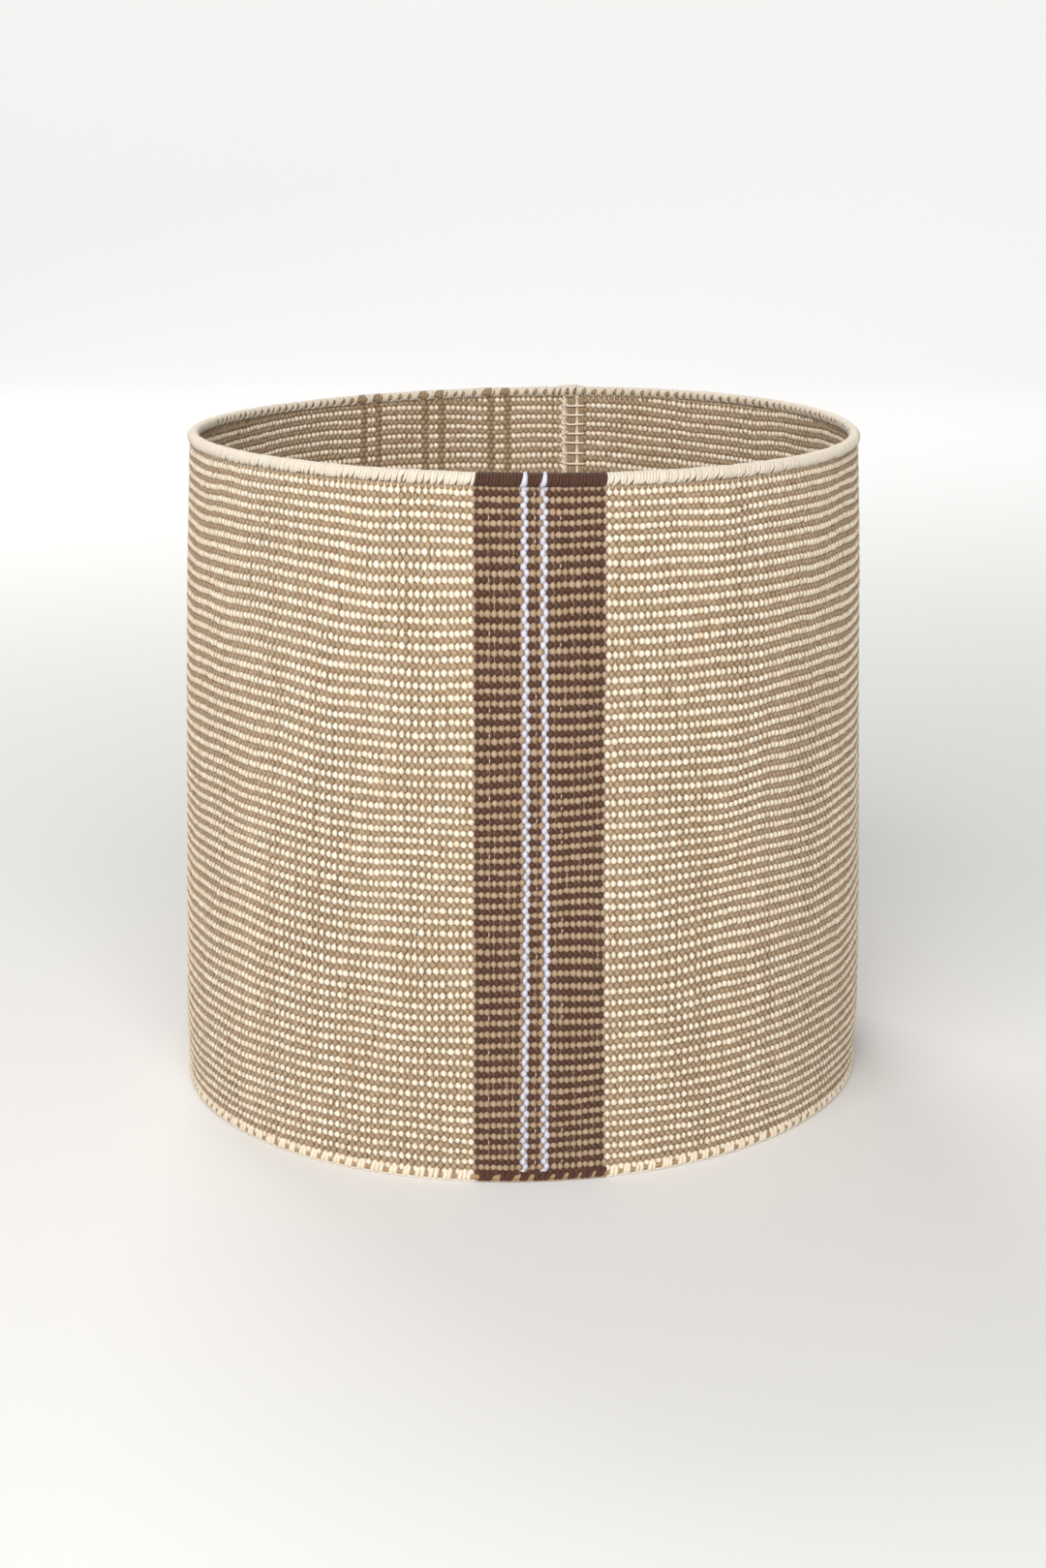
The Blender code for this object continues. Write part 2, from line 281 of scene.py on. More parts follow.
def add_tubes(name, rings, material, shades, rows=None, closed=False):
    """One piece of tubes. shades is a value for each ring, from 0, dark, to 1, light."""
    tubes, steps, sides = rings.shape[:3]
    points = rings.reshape(-1, 3)
    quads, round_share, along = tube_faces(tubes, steps, sides, closed)
    ends = np.zeros((0, sides), int)
    if not closed:
        first = (np.arange(tubes) * steps * sides)[:, None] + np.arange(sides)
        last = first + (steps - 1) * sides
        ends = np.concatenate([first[:, ::-1], last])
    yarn_map = np.stack([round_share, along if rows is None else rows[along % steps]], -1)
    if points_inwards(rings, quads):
        quads, ends, yarn_map = quads[:, ::-1], ends[:, ::-1], yarn_map[:, ::-1]
    corners = np.concatenate([quads.ravel(), ends.ravel()])
    starts = np.concatenate([np.arange(len(quads)) * 4, quads.size + np.arange(len(ends)) * sides])
    mesh = bpy.data.meshes.new(name)
    mesh.vertices.add(len(points))
    mesh.vertices.foreach_set("co", points.astype(np.float32).ravel())
    mesh.loops.add(len(corners))
    mesh.loops.foreach_set("vertex_index", corners.astype(np.int32))
    mesh.polygons.add(len(starts))
    mesh.polygons.foreach_set("loop_start", starts.astype(np.int32))
    mesh.update(calc_edges=True)
    mesh.shade_smooth()
    end_map = np.zeros((ends.size, 2))
    set_map(mesh, "Yarn", np.concatenate([yarn_map.reshape(-1, 2), end_map]))
    set_map(mesh, "OFBake", bake_places(points)[corners])
    values = np.repeat(np.broadcast_to(shades, (tubes, steps)).ravel(), sides)
    mesh.attributes.new("shade", "FLOAT", "POINT").data.foreach_set(
        "value", values.astype(np.float32)
    )
    mesh.materials.append(material)
    piece = bpy.data.objects.new(name, mesh)
    bpy.context.scene.collection.objects.link(piece)
    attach(piece, "root")
    return piece


def set_map(mesh, name, places):
    """Writes a UV map from one place for each face corner."""
    layer = mesh.uv_layers.new(name=name, do_init=False)
    layer.uv.foreach_set("vector", places.astype(np.float32).ravel())


def bake_places(points):
    """Places on a flat sheet for a piece's points: turn and height, or plain X and Y if flat."""
    low, high = points.min(0), points.max(0)
    turns = np.arctan2(points[:, 0], -points[:, 1])
    middle = math.atan2(points[:, 0].mean(), -points[:, 1].mean())
    turns = np.mod(turns - middle + math.pi, FULL_TURN)
    if high[2] - low[2] < (high[0] - low[0]) / 8 and np.ptp(turns) > math.pi:
        flat = points[:, :2]
    else:
        flat = np.stack([turns, points[:, 2]], -1)
    return (flat - flat.min(0)) / np.maximum(np.ptp(flat, axis=0), MM)


def linear(colour):
    """A colour as seen, 0 to 255, on the linear scale of the shaders."""
    shares = [c / 255 for c in colour]
    return [s / 12.92 if s <= 0.04045 else ((s + 0.055) / 1.055) ** 2.4 for s in shares]


class Nodes:
    """Short calls for building a material's nodes."""

    def __init__(self, name):
        self.material = bpy.data.materials.new(name)
        self.material.use_nodes = True
        self.tree = self.material.node_tree
        self.shader = self.tree.nodes["Principled BSDF"]

    def add(self, kind, **settings):
        node = self.tree.nodes.new(kind)
        for key, value in settings.items():
            if key in node.inputs:
                self.put(node.inputs[key], value)
            else:
                setattr(node, key, value)
        return node

    def put(self, socket, value):
        if isinstance(value, bpy.types.NodeSocket):
            self.tree.links.new(value, socket)
        else:
            socket.default_value = value

    def maths(self, operation, first, second):
        node = self.add("ShaderNodeMath", operation=operation)
        self.put(node.inputs[0], first)
        self.put(node.inputs[1], second)
        return node.outputs[0]


YARN_TWISTS_PER_ROW = 1.6
YARN_PLIES = 3.0
FIBRE_SCALE = 900.0
PATCH_SCALE = 22.0


def yarn_material(name, colour, roughness=0.85, sheen=0.15, spread=0.16, flank_painted_shade=0.36):
    """Twisted yarn: plies, fibres, sides darkened by painted shade, and tones that change from bead to bead.
    """
    nodes = Nodes(name)
    place = nodes.add("ShaderNodeTexCoord").outputs["Object"]
    yarn = nodes.add("ShaderNodeUVMap", uv_map="Yarn").outputs["UV"]
    parts = nodes.add("ShaderNodeSeparateXYZ", Vector=yarn)
    turned = nodes.maths("MULTIPLY", parts.outputs["Y"], YARN_TWISTS_PER_ROW / YARN_PLIES)
    phase = nodes.maths("ADD", parts.outputs["X"], turned)
    angle = nodes.maths("MULTIPLY", phase, YARN_PLIES * FULL_TURN)
    plies = nodes.maths("ABSOLUTE", nodes.maths("SINE", angle, 0.0), 0.0)
    fibres = nodes.add("ShaderNodeTexNoise", Vector=place, Scale=FIBRE_SCALE, Detail=3.0)
    patches = nodes.add("ShaderNodeTexNoise", Vector=place, Scale=PATCH_SCALE, Detail=2.0)
    shade = nodes.add("ShaderNodeAttribute", attribute_name="shade").outputs["Fac"]
    tone = nodes.maths("ADD", nodes.maths("MULTIPLY", fibres.outputs["Fac"], 0.3), shade)
    tone = nodes.maths("ADD", tone, nodes.maths("MULTIPLY", patches.outputs["Fac"], 0.3))
    tone = nodes.maths("ADD", tone, nodes.maths("MULTIPLY", plies, 0.12))
    base = Vector(linear(colour))
    warm = Vector((1.0 - spread * 1.1, 1.0 - spread * 1.5, 1.0 - spread * 2.1))
    dark = Vector(a * b for a, b in zip(base, warm))
    light = base * (1.0 + spread * 0.35)
    ramp = nodes.add("ShaderNodeValToRGB", Fac=nodes.maths("SUBTRACT", tone, 0.35))
    ramp.color_ramp.elements[0].color = (*dark, 1.0)
    ramp.color_ramp.elements[1].color = (*light, 1.0)
    # Painted shade: each yarn's sides, where it lies in the creases between its neighbours, are darkened in
    # its colour
    around = nodes.maths("MULTIPLY", parts.outputs["X"], FULL_TURN)
    flank = nodes.maths("POWER", nodes.maths("ABSOLUTE", nodes.maths("SINE", around, 0.0), 0.0), 2.0)
    value = nodes.maths("SUBTRACT", 1.0, nodes.maths("MULTIPLY", flank, flank_painted_shade))
    shaded = nodes.add("ShaderNodeHueSaturation", Color=ramp.outputs["Color"], Value=value)
    nodes.put(nodes.shader.inputs["Base Color"], shaded.outputs["Color"])
    worn = nodes.maths("MULTIPLY", fibres.outputs["Fac"], 0.25)
    nodes.put(nodes.shader.inputs["Roughness"], nodes.maths("ADD", worn, roughness - 0.12))
    nodes.shader.inputs["Sheen Weight"].default_value = sheen
    nodes.shader.inputs["Sheen Roughness"].default_value = 0.5
    nodes.shader.inputs["Specular IOR Level"].default_value = 0.25
    relief = nodes.maths("MULTIPLY", plies, 0.5)
    relief = nodes.maths("ADD", relief, nodes.maths("MULTIPLY", fibres.outputs["Fac"], 0.5))
    bump = nodes.add("ShaderNodeBump", Strength=0.45, Distance=0.25 * MM, Height=relief)
    nodes.put(nodes.shader.inputs["Normal"], bump.outputs["Normal"])
    return nodes.material


# flank_painted_shade sets how much painted shade darkens each kind of yarn's sides
MATERIALS = {
    "cream": yarn_material("cream_yarn", CREAM, spread=0.2, flank_painted_shade=0.56),
    "rim": yarn_material("rim_yarn", RIM_CREAM, flank_painted_shade=0.14),
    "foot": yarn_material("foot_yarn", CREAM, flank_painted_shade=0.4),
    "tan": yarn_material("tan_yarn", TAN, spread=0.2, flank_painted_shade=0.44),
    "dark_tan": yarn_material("dark_tan_yarn", DARK_TAN, spread=0.2),
    "pinstripe": yarn_material("pinstripe_yarn", PINSTRIPE_TAN, spread=0.2),
    "brown": yarn_material("brown_yarn", BROWN, 0.75, 0.1, spread=0.22, flank_painted_shade=0.5),
    "white": yarn_material("white_yarn", WHITE, 0.55, 0.05, spread=0.1, flank_painted_shade=0.2),
    "core": yarn_material("core_yarn", CORE_TAN, roughness=0.92, spread=0.25),
}

# Each CAD group of the wall, with the yarns of a pair: the one out on cream rows comes first
GROUND = ("cream", "tan")
STRIPE = ("brown", "dark_tan")
WALL_YARNS = {
    "stripe_cloth": STRIPE,
    "white_yarn": ("white", "white"),
    "ground_cloth": GROUND,
    "pinstripe_yarn": ("pinstripe", "pinstripe"),
}


def wall_groups():
    """(node, yarns, start turn, turn from one pair to the next, pairs) of each woven group."""
    groups = []
    for node in sorted(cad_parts):
        for start_of_name, yarns in WALL_YARNS.items():
            if node.startswith(start_of_name):
                start, end = node_turns(node)
                pairs = round((end - start) / PAIR_TURN)
                groups.append((node, yarns, start, (end - start) / pairs, pairs))
    return groups


def crowded(turn, height):
    """The turn at which a yarn really lies, since the yarns are closer in some places."""
    return turn + CROWDING_SHARE * PAIR_TURN * crowding(turn, height)


def woven_height(picks, turn):
    """Heights of rows at these turns, with their waves, which fade at the rim and the foot."""
    base = row_height(picks)
    inside_cloth = np.clip(np.minimum(picks + 1, PICKS + 1 - picks) / 6, 0, 1)
    above_foot = np.clip((picks + 1) / 6, 0, 1)
    middle = np.clip((picks - 20) / 14, 0, 1) * np.clip((PICKS - 4 - picks) / 14, 0, 1)
    from_front = np.mod(turn + math.pi, FULL_TURN) - math.pi
    rise = middle * np.interp(from_front, np.radians(FRONT_DEGREES), FRONT_RISES)
    rise = rise + above_foot * np.interp(np.mod(turn, FULL_TURN), np.radians(BACK_DEGREES), BACK_RISES)
    return base + ROW_WAVE * inside_cloth * row_waves(turn, base) + MM * rise


def even_noise(spread, shape, repeats):
    """Random values, each used for so many steps in a row."""
    return np.repeat(rng.normal(0, spread, shape), repeats, axis=1)


def warp_rings(turns, out_first, kind):
    """Rings of upright yarns at these turns. out_first is 1 for those out on cream rows, or -1."""
    rows = np.arange(-1, PICKS + 2)
    picks = (rows[:, None] + RING_SHARES).ravel()
    beads = (len(turns), len(rows))
    bead = np.tile(np.abs(RING_SHARES) < 0.3, len(rows))
    rings = len(RING_SHARES)
    knots = np.linspace(picks[0], picks[-1], CREAM_ROWS // 3)
    drift = rng.normal(0, WANDER / RIM_LINE_RADIUS, (len(turns), len(knots)))
    drift = np.array([np.interp(picks, knots, d) for d in drift])
    width = 1 + even_noise(WIDTH_SPREAD_SHARE, beads, rings)
    swing = 1 + even_noise(SWING_SPREAD_SHARE, beads, rings)
    raised = even_noise(BEAD_LIFT, beads, rings)
    turn = turns[:, None] + drift
    height = woven_height(picks, turn) + raised
    turn = crowded(turn, height)
    out = -out_first * WARP_SWING * np.cos(math.pi * picks) * swing + SHIFTS.get(kind, 0)
    neck = NECK_WIDTH_SHARES.get(kind, TAN_NECK_WIDTH_SHARE)
    half_width = BEAD_HALF_WIDTHS[kind] * np.where(bead, width, neck)
    thickness = BEAD_HALF_THICKNESSES.get(kind, FLAT_BEAD_HALF_THICKNESS)
    half_thickness = thickness * np.where(bead, 1.0, NECK_THICKNESS_SHARE) + 0 * width
    tucked = height > TUCK_HEIGHT
    out = np.where(tucked, 0.0, out)
    wide, deep = (TUCKED_WIDTH_SHARE, 1.0) if kind in ("cream", "brown") else LAST_BEAD_SHARES
    half_width = half_width * np.where(tucked, wide, 1.0)
    half_thickness = half_thickness * np.where(tucked, deep, 1.0)
    path = on_wall(turn, height, out)
    rings_made = sweep(path, across(turn), half_width, half_thickness, WARP_SIDES)
    yarn_tone = rng.normal(0, YARN_TONE_SPREAD, (len(turns), 1))
    bead_tone = even_noise(BEAD_TONE_SPREAD, beads, rings)
    # Painted shade: the bead ends, at the necks, are darkened in the tone
    tone = BEAD_TONE + yarn_tone + bead_tone - NECK_PAINTED_SHADE * ~bead
    return rings_made, tone, picks


def make_warps():
    """Every upright yarn of the wall, in pieces of one colour each."""
    for node, yarns, start, pitch, pairs in wall_groups():
        for second in (0, 1):
            kind = yarns[second]
            every = start + (np.arange(pairs) + 0.25 + 0.5 * second) * pitch
            if node == "ground_cloth_right":
                every = every[:-1]
            parts = np.array_split(every, math.ceil(pairs / MOST_WARPS))
            for i, turns in enumerate(parts):
                rings, shades, picks = warp_rings(turns, 1 - 2 * second, kind)
                name = f"{node}_{kind}_{'even' if second else 'odd'}_{i + 1}"
                piece = add_tubes(name, rings, MATERIALS[kind], shades, picks)
                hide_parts(node)


def add_ring_piece(name, kind, turn, height, half_height, half_depth, tone=0.0):
    """Flat yarns that run right round inside the cloth, one for each row of the arrays."""
    path = on_wall(turn, height, 0 * turn)
    up = np.broadcast_to([0.0, 0.0, 1.0], path.shape)
    rings = closed_sweep(path, up, half_height + 0 * turn, half_depth + 0 * turn, 4)
    piece = add_tubes(name, rings, MATERIALS[kind], tone, closed=True)


def make_weft():
    """The cross yarns, one for each row, and the cloth's thin edges inside the two rolls."""
    around = np.linspace(0, FULL_TURN, WEFT_STEPS_PER_TURN, endpoint=False)[None]
    picks = np.arange(1.0, PICKS)[:, None]
    turn = around + 0 * picks
    height = woven_height(picks, turn)
    # The core is at the darkest tone, 0: painted shade in the gaps between the beads, where it shows
    add_ring_piece("weft_core", "tan", turn, height, WEFT_HALF_HEIGHT, WEFT_HALF_DEPTH)
    picks = np.arange(1.0, PICKS, 2)[:, None]
    turn = around + 0 * picks
    height = woven_height(picks, turn)
    depth = THREAD_HALF_DEPTH + rng.normal(0, THREAD_DEPTH_SPREAD, turn.shape)
    size = THREAD_HALF_HEIGHT
    add_ring_piece("weft_threads", "cream", turn, height, size, depth, 0.4)
    first, last = row_height(0), row_height(PICKS)
    for name, low, high in (
        ("foot_edge_cloth", FOOT_LINE_HEIGHT, first),
        ("rim_edge_cloth", last, RIM_LINE_HEIGHT),
    ):
        height = np.full(around.shape, (low + high) / 2)
        half_height = (high - low) / 2 + MM
        add_ring_piece(name, "tan", around, height, half_height, EDGE_HALF_THICKNESS)


# Rolled rim and foot: the strands that wrap the cords, and how they gather into bunches
RIM_STRANDS_PER_PAIR = 2
RIM_BUNCHES = (3, 3, 4, 4, 4)
FOOT_BUNCHES = {"foot": (2, 2, 2, 2, 3), "brown": (2, 2, 3)}
WRAP_SIDES = 6
RIM_STRAND_HALF_THICKNESS = 0.5 * MM
WHITE_PROUD = 0.3 * MM
JOIN_PROUD = 0.9 * MM
FRONT_PROUD = 0.75 * MM
FRONT_LIFT_SHARE = 0.3
FOOT_STRAND_HALF_THICKNESS = 0.85 * MM
STRAND_SPREAD_SHARE = 0.015
BUNCH_SPREAD_SHARE = 0.035
START_SPREAD = 12.0
LATE_START = 26.0
GATHER_SPREAD_SHARE = 0.08
RIM_PIECES = (
    ("rim_binding_right", "rim", ["rim_binding_right"]),
    ("rim_join_wrap", "rim", ["rim_join_wrap"]),
    *[(f"rim_binding_back_{i}", "rim", [f"rim_binding_back_{i}"]) for i in range(1, 7)],
    *[(f"rim_pinstripe_{i}", "pinstripe", [f"rim_pinstripe_{i}"]) for i in range(1, 7)],
    ("rim_binding_left", "rim", ["rim_binding_left"]),
    (
        "rim_stripe",
        "brown",
        [
            "rim_stripe_left",
            "rim_white_left",
            "rim_stripe_middle",
            "rim_white_right",
            "rim_stripe_right",
        ],
    ),
    ("rim_white_left", "white", ["rim_white_left"]),
    ("rim_white_right", "white", ["rim_white_right"]),
)
WRAP_TONES = {"brown": 0.3, "pinstripe": 0.75}
EVEN_WRAP_TONE = 0.55


# The spacing of a rim bunch's strands as a share of the even spacing, round the roll
PINCH_DEGREES = (-70, -48, -26, 135, 157, 206, 226, 252)
PINCH = (0.76, 0.88, 1.0, 1.0, 0.5, 0.42, 0.8, 1.0)


class Wrap(NamedTuple):
    """How strands run round a roll, with one value for each angle from outwards over the top.

    reach is the distance from the roll's middle as a share of its radius, gather is the spacing
    inside a bunch as a share of the even spacing, and slant is a shift to the right in pairs.
    """

    degrees: np.ndarray
    reach: np.ndarray
    gather: np.ndarray
    slant: np.ndarray
    half_width: np.ndarray
    thick: float


def bunch_middles(turns, sizes):
    """For strands in order, the middle turn of the bunch that each belongs to."""
    middles = np.zeros(len(turns))
    start = 0
    while start < len(turns):
        bunch = slice(start, start + rng.choice(sizes))
        middles[bunch] = turns[bunch].mean()
        start = bunch.stop
    return middles


def strand_turns(nodes, per_pair):
    """Turns of the strands of a roll over these CAD nodes, left to right."""
    spans = [node_turns(n) for n in nodes]
    start, end = min(s[0] for s in spans), max(s[1] for s in spans)
    count = max(1, round((end - start) / PAIR_TURN * per_pair))
    return start + (np.arange(count) + 0.5) * (end - start) / count


def wrap_rings(turns, middles, line_height, radius, wrap, starts):
    """Rings of strands round a roll. Each starts at its own angle, and all end at the last."""
    first, last = wrap.degrees[0], wrap.degrees[-1]
    share = (last - wrap.degrees) / (last - first)
    angles = np.radians(last - (last - starts[:, None]) * share)
    bunches = np.unique(middles, return_inverse=True)[1]
    gather = wrap.gather + GATHER_SPREAD_SHARE * rng.normal(0, 1, bunches.max() + 1)[bunches, None]
    gather = np.where(wrap.gather < 1, gather, 1.0)
    turn = middles[:, None] + (turns - middles)[:, None] * gather + wrap.slant * PAIR_TURN
    uneven = 1 + rng.normal(0, STRAND_SPREAD_SHARE, (len(turns), 1))
    uneven = uneven + rng.normal(0, BUNCH_SPREAD_SHARE, bunches.max() + 1)[bunches, None]
    reach = radius * uneven * wrap.reach
    height = np.maximum(line_height + reach * np.sin(angles), wrap.thick)
    path = on_wall(turn, height, reach * np.cos(angles))
    wide = wrap.half_width * (1 + rng.normal(0, 0.06, (len(turns), 1)))
    thick = np.full(turn.shape, wrap.thick)
    return sweep(path, across(turn), wide, thick, WRAP_SIDES)


def rim_wrap(kind):
    """The rim's strands: smooth outside and on top, gathered into slanting fingers inside."""
    degrees = np.array([-70.0, -45, -20, 5, 30, 58, 86, 110, 130, 148, 164, 182, 202, 226, 252])
    half_pitch = PAIR_TURN / RIM_STRANDS_PER_PAIR * RIM_LINE_RADIUS / 2
    even = kind != "rim"
    marks = [-70, -45, 30, 110, 150, 222, 252]
    shares = [0.8, 1.2, 1.28, 1.28, 0.98, 0.88, 0.7]
    if kind == "white":
        marks, shares = [-60, 60], [2.4, 1.3]
    if kind in ("brown", "pinstripe"):
        marks, shares = [-70, 252], [1.2, 1.2]
    return Wrap(
        degrees,
        np.interp(degrees, [190, 226, 252], [1.0, 1.1, 1.28]),
        np.interp(degrees, PINCH_DEGREES, np.ones(8) if even else PINCH),
        np.interp(degrees, [-70, -20, 30, 90, 252], [-0.45, -0.15, 0.0, 0.0, 0.0 if even else 0.5]),
        half_pitch * np.interp(degrees, marks, shares),
        RIM_STRAND_HALF_THICKNESS,
    )


def make_rim():
    """The rim's strands, in the colours of the cloth under them."""
    radius = RIM_ROLL_RADIUS - RIM_STRAND_HALF_THICKNESS
    for name, kind, nodes in RIM_PIECES:
        white = kind == "white"
        turns = strand_turns(nodes, 1 if white else RIM_STRANDS_PER_PAIR)
        proud = WHITE_PROUD * white + FRONT_PROUD * np.clip(np.cos(turns), 0, 1)[:, None] ** 0.5
        if name == "rim_join_wrap":
            along = (np.arange(len(turns))[:, None] + 0.5) / len(turns)
            proud = proud + JOIN_PROUD * np.sin(math.pi * along) ** 0.6
        wrap = rim_wrap(kind)
        late = LATE_START * (np.arange(len(turns)) % 2) * (kind == "rim")
        starts = wrap.degrees[0] + late + rng.normal(0, START_SPREAD, len(turns))
        middles = bunch_middles(turns, RIM_BUNCHES)
        line_height = RIM_LINE_HEIGHT + FRONT_LIFT_SHARE * proud
        rings = wrap_rings(turns, middles, line_height, radius + proud, wrap, starts)
        add_wrap_piece(name, rings, kind, nodes)


def add_wrap_piece(name, rings, kind, nodes):
    """One piece of a roll's strands, in the place of CAD nodes."""
    tones = WRAP_TONES.get(kind, EVEN_WRAP_TONE) + rng.normal(0, 0.07, (len(rings), 1))
    piece = add_tubes(name + "_strands", rings, MATERIALS[kind], tones)
    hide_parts(*nodes)


def foot_wrap(kind):
    """The foot's strands: mostly pairs pinched half way down, or at the bottom in the stripe."""
    degrees = np.array([72.0, 60, 48, 34, 18, 0, -14, -30, -50, -72, -95, -125, -155, -185, -218])
    half_pitch = PAIR_TURN * FOOT_LINE_RADIUS / 2
    if kind == "foot":
        gather = np.interp(degrees, [-64, -42, 40, 72], [1.0, 0.6, 0.55, 0.62])
        slant = np.interp(degrees, [-60, 60], [-0.12, 0.12])
        wide = np.interp(degrees, [-70, -42, -14, 40, 72], [1.15, 0.9, 0.84, 0.84, 0.8])
    else:
        gather = np.interp(degrees, [-110, -40, 20, 50, 64], [0.5, 0.55, 0.6, 0.8, 1.0])
        slant = np.interp(degrees, [-60, 60], [-0.3, 0.3])
        wide = np.interp(degrees, [-80, 0, 40, 72], [0.8, 0.84, 0.95, 1.0])
    return Wrap(
        degrees,
        np.interp(degrees, [40, 60, 72], [1.0, 1.2, 1.62]),
        gather,
        slant,
        half_pitch * wide,
        FOOT_STRAND_HALF_THICKNESS,
    )


def make_foot():
    """The foot's strands and the thin cord along their lowest edge."""
    radius = FOOT_ROLL_RADIUS - FOOT_STRAND_HALF_THICKNESS
    for name, kind in (("foot_binding", "foot"), ("foot_stripe", "brown")):
        turns = strand_turns([name], 1)
        wrap = foot_wrap(kind)
        starts = wrap.degrees[0] + rng.normal(0, 5, len(turns))
        middles = bunch_middles(turns, FOOT_BUNCHES[kind])
        rings = wrap_rings(turns, middles, FOOT_LINE_HEIGHT, radius, wrap, starts)
        add_wrap_piece(name, rings, kind, [name])
        make_foot_edge(name, kind)


EDGE_RADIUS = 0.55 * MM
EDGE_OUT = 1.35 * MM
EDGE_STEP = 1.5 * MM


def make_foot_edge(name, kind):
    """The thin cord along the lowest edge of the foot."""
    start, end = node_turns("foot_stripe")
    if kind == "foot":
        start, end = end, start + FULL_TURN
    turn = np.linspace(start, end, max(8, int((end - start) * FOOT_LINE_RADIUS / EDGE_STEP)))[None]
    wander = rng.normal(0, 0.06 * MM, turn.shape)
    path = on_wall(turn, EDGE_RADIUS + np.abs(wander), EDGE_OUT + wander)
    up = np.broadcast_to([0.0, 0.0, 1.0], path.shape)
    size = EDGE_RADIUS * (1 + rng.normal(0, 0.05, turn.shape))
    rings = sweep(path, up, size, size, WRAP_SIDES)
    edge_kind = "rim" if kind == "foot" else "dark_tan"
    piece = add_tubes(name + "_edge", rings, MATERIALS[edge_kind], 0.75)


CORE_STEPS = 900
CORE_LOBES = 3
CORE_SIDES = 12
CORE_TWISTS = 150


def rope_ring(name, line_height, radius, out, nodes):
    """A twisted cord all the way round the basket."""
    turn = (np.arange(CORE_STEPS) * FULL_TURN / CORE_STEPS)[None, :, None]
    side = (np.arange(CORE_SIDES) * FULL_TURN / CORE_SIDES)[None, None]
    lobes = 1 + 0.12 * np.cos(CORE_LOBES * side + CORE_TWISTS * turn)
    height = line_height + radius * lobes * np.sin(side)
    rings = on_wall(turn + 0 * side, height, out + radius * lobes * np.cos(side))
    # The cords' low tone is partly their own colour and partly painted shade for the slots between the
    # bunches, where they show
    piece = add_tubes(name, rings, MATERIALS["core"], 0.25, closed=True)
    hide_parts(*nodes)


def make_cords():
    """The cords inside the rolls, which show between the bunches of strands."""
    rope_ring("rim_core", RIM_LINE_HEIGHT, 1.9 * MM, 0.0, ["rim_cord"])
    rope_ring("foot_core", FOOT_LINE_HEIGHT, 1.7 * MM, 0.25 * MM, ["foot_cord"])


# Base
BASE_BEAD_PITCH = 2.9 * MM
BASE_ROW_PITCH = 2.75 * MM
BASE_MIDDLE_RADIUS = 6.0 * MM
BASE_MIDDLE_RINGS = (1.3 * MM, 3.9 * MM)
BASE_MIDDLE_HALF_WIDTH = 1.35 * MM
BASE_CORE_SHARE = 0.4
BASE_CORE_STEPS = 120


def on_base(turn, radius, height):
    """Points on the base, which follows the foot where that isn't quite round."""
    spread = 1 + foot_spread(turn) / FOOT_LINE_RADIUS
    points = [radius * spread * np.sin(turn), -radius * spread * np.cos(turn), height + 0 * radius]
    return np.stack(np.broadcast_arrays(*points), -1)


def make_base():
    """The flat base: rounds of beads, cream and tan, round a small coiled middle."""
    low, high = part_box("base_cloth")
    thickness = high.z - low.z
    middle = (low.z + high.z) / 2
    edge = high.x
    rows = int((edge - BASE_MIDDLE_RADIUS) / BASE_ROW_PITCH)
    steps = np.array([-1.0, -0.6, 0, 0.6, 1.0])
    sizes = np.array([0.25, 0.8, 1, 0.8, 0.25])
    for kind, offset in (("cream", 0), ("tan", 1)):
        turns, radii = [], []
        for row in range(offset, rows, 2):
            radius = edge - (row + 0.5) * BASE_ROW_PITCH
            count = round(FULL_TURN * radius / BASE_BEAD_PITCH)
            turns.append((np.arange(count) + 0.5 * offset) / count * FULL_TURN)
            radii.append(np.full(count, radius))
        turn = np.concatenate(turns)[:, None]
        radius = np.concatenate(radii)[:, None] + steps * BASE_ROW_PITCH * 0.85
        path = on_base(turn, radius, middle)
        wide = np.broadcast_to(sizes * BASE_BEAD_PITCH * 0.52, radius.shape)
        thick = np.broadcast_to(sizes * thickness / 2, radius.shape)
        rings = sweep(path, across(turn + 0 * radius), wide, thick, WARP_SIDES)
        tones = 0.5 + rng.normal(0, 0.1, (len(turn), 1))
        piece = add_tubes(f"base_{kind}_beads", rings, MATERIALS[kind], tones)
        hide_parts("base_cloth")
    radius = np.array(BASE_MIDDLE_RINGS)[:, None]
    turn = np.linspace(0, FULL_TURN, BASE_CORE_STEPS, endpoint=False) + 0 * radius
    path = on_base(turn, radius, middle)
    up = np.broadcast_to([0.0, 0.0, 1.0], path.shape)
    rings = closed_sweep(path, up, 0 * turn + thickness * 0.42, 0 * turn + BASE_MIDDLE_HALF_WIDTH, 8)
    piece = add_tubes("base_middle", rings, MATERIALS["cream"], 0.4, closed=True)
    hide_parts("base_cloth")
    half = thickness / 2 * BASE_CORE_SHARE
    turn = (np.arange(BASE_CORE_STEPS) * FULL_TURN / BASE_CORE_STEPS)[None, :, None]
    radius = np.array([edge - 2 * MM, edge - MM, edge - 2 * MM, MM])[None, None]
    height = middle + half * np.array([-1.0, 0, 1, 0])[None, None]
    rings = on_base(turn, radius, height)
    piece = add_tubes("base_core", rings, MATERIALS["tan"], 0.2, closed=True)
    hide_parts("base_cloth")


# Seam at the back
SEAM_STEPS_PER_PICK = 4
SELVEDGE_STRANDS = 3
SELVEDGE_COIL_PICKS = 3.4
SELVEDGE_COIL_RADIUS = 0.95 * MM
SELVEDGE_STRAND_RADIUS = 1.12 * MM
LOOP_STEPS = 20
LAST_YARNS = np.array([0.3, 0.78])


def seam_height(picks):
    """Heights of rows in the seam, which follow the cloth to the right of it."""
    return woven_height(picks, node_turns("seam_cord_right")[0] + 0 * picks)


def seam_picks():
    """Closely spaced picks from the foot to the rim, as one row of an array."""
    return np.linspace(0.2, PICKS + 0.4, PICKS * SEAM_STEPS_PER_PICK)[None]


def add_seam_piece(name, rings, kind, tones, node):
    """One piece of the seam, in the place of a CAD node."""
    piece = add_tubes(name, rings, MATERIALS[kind], tones)
    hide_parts(node)


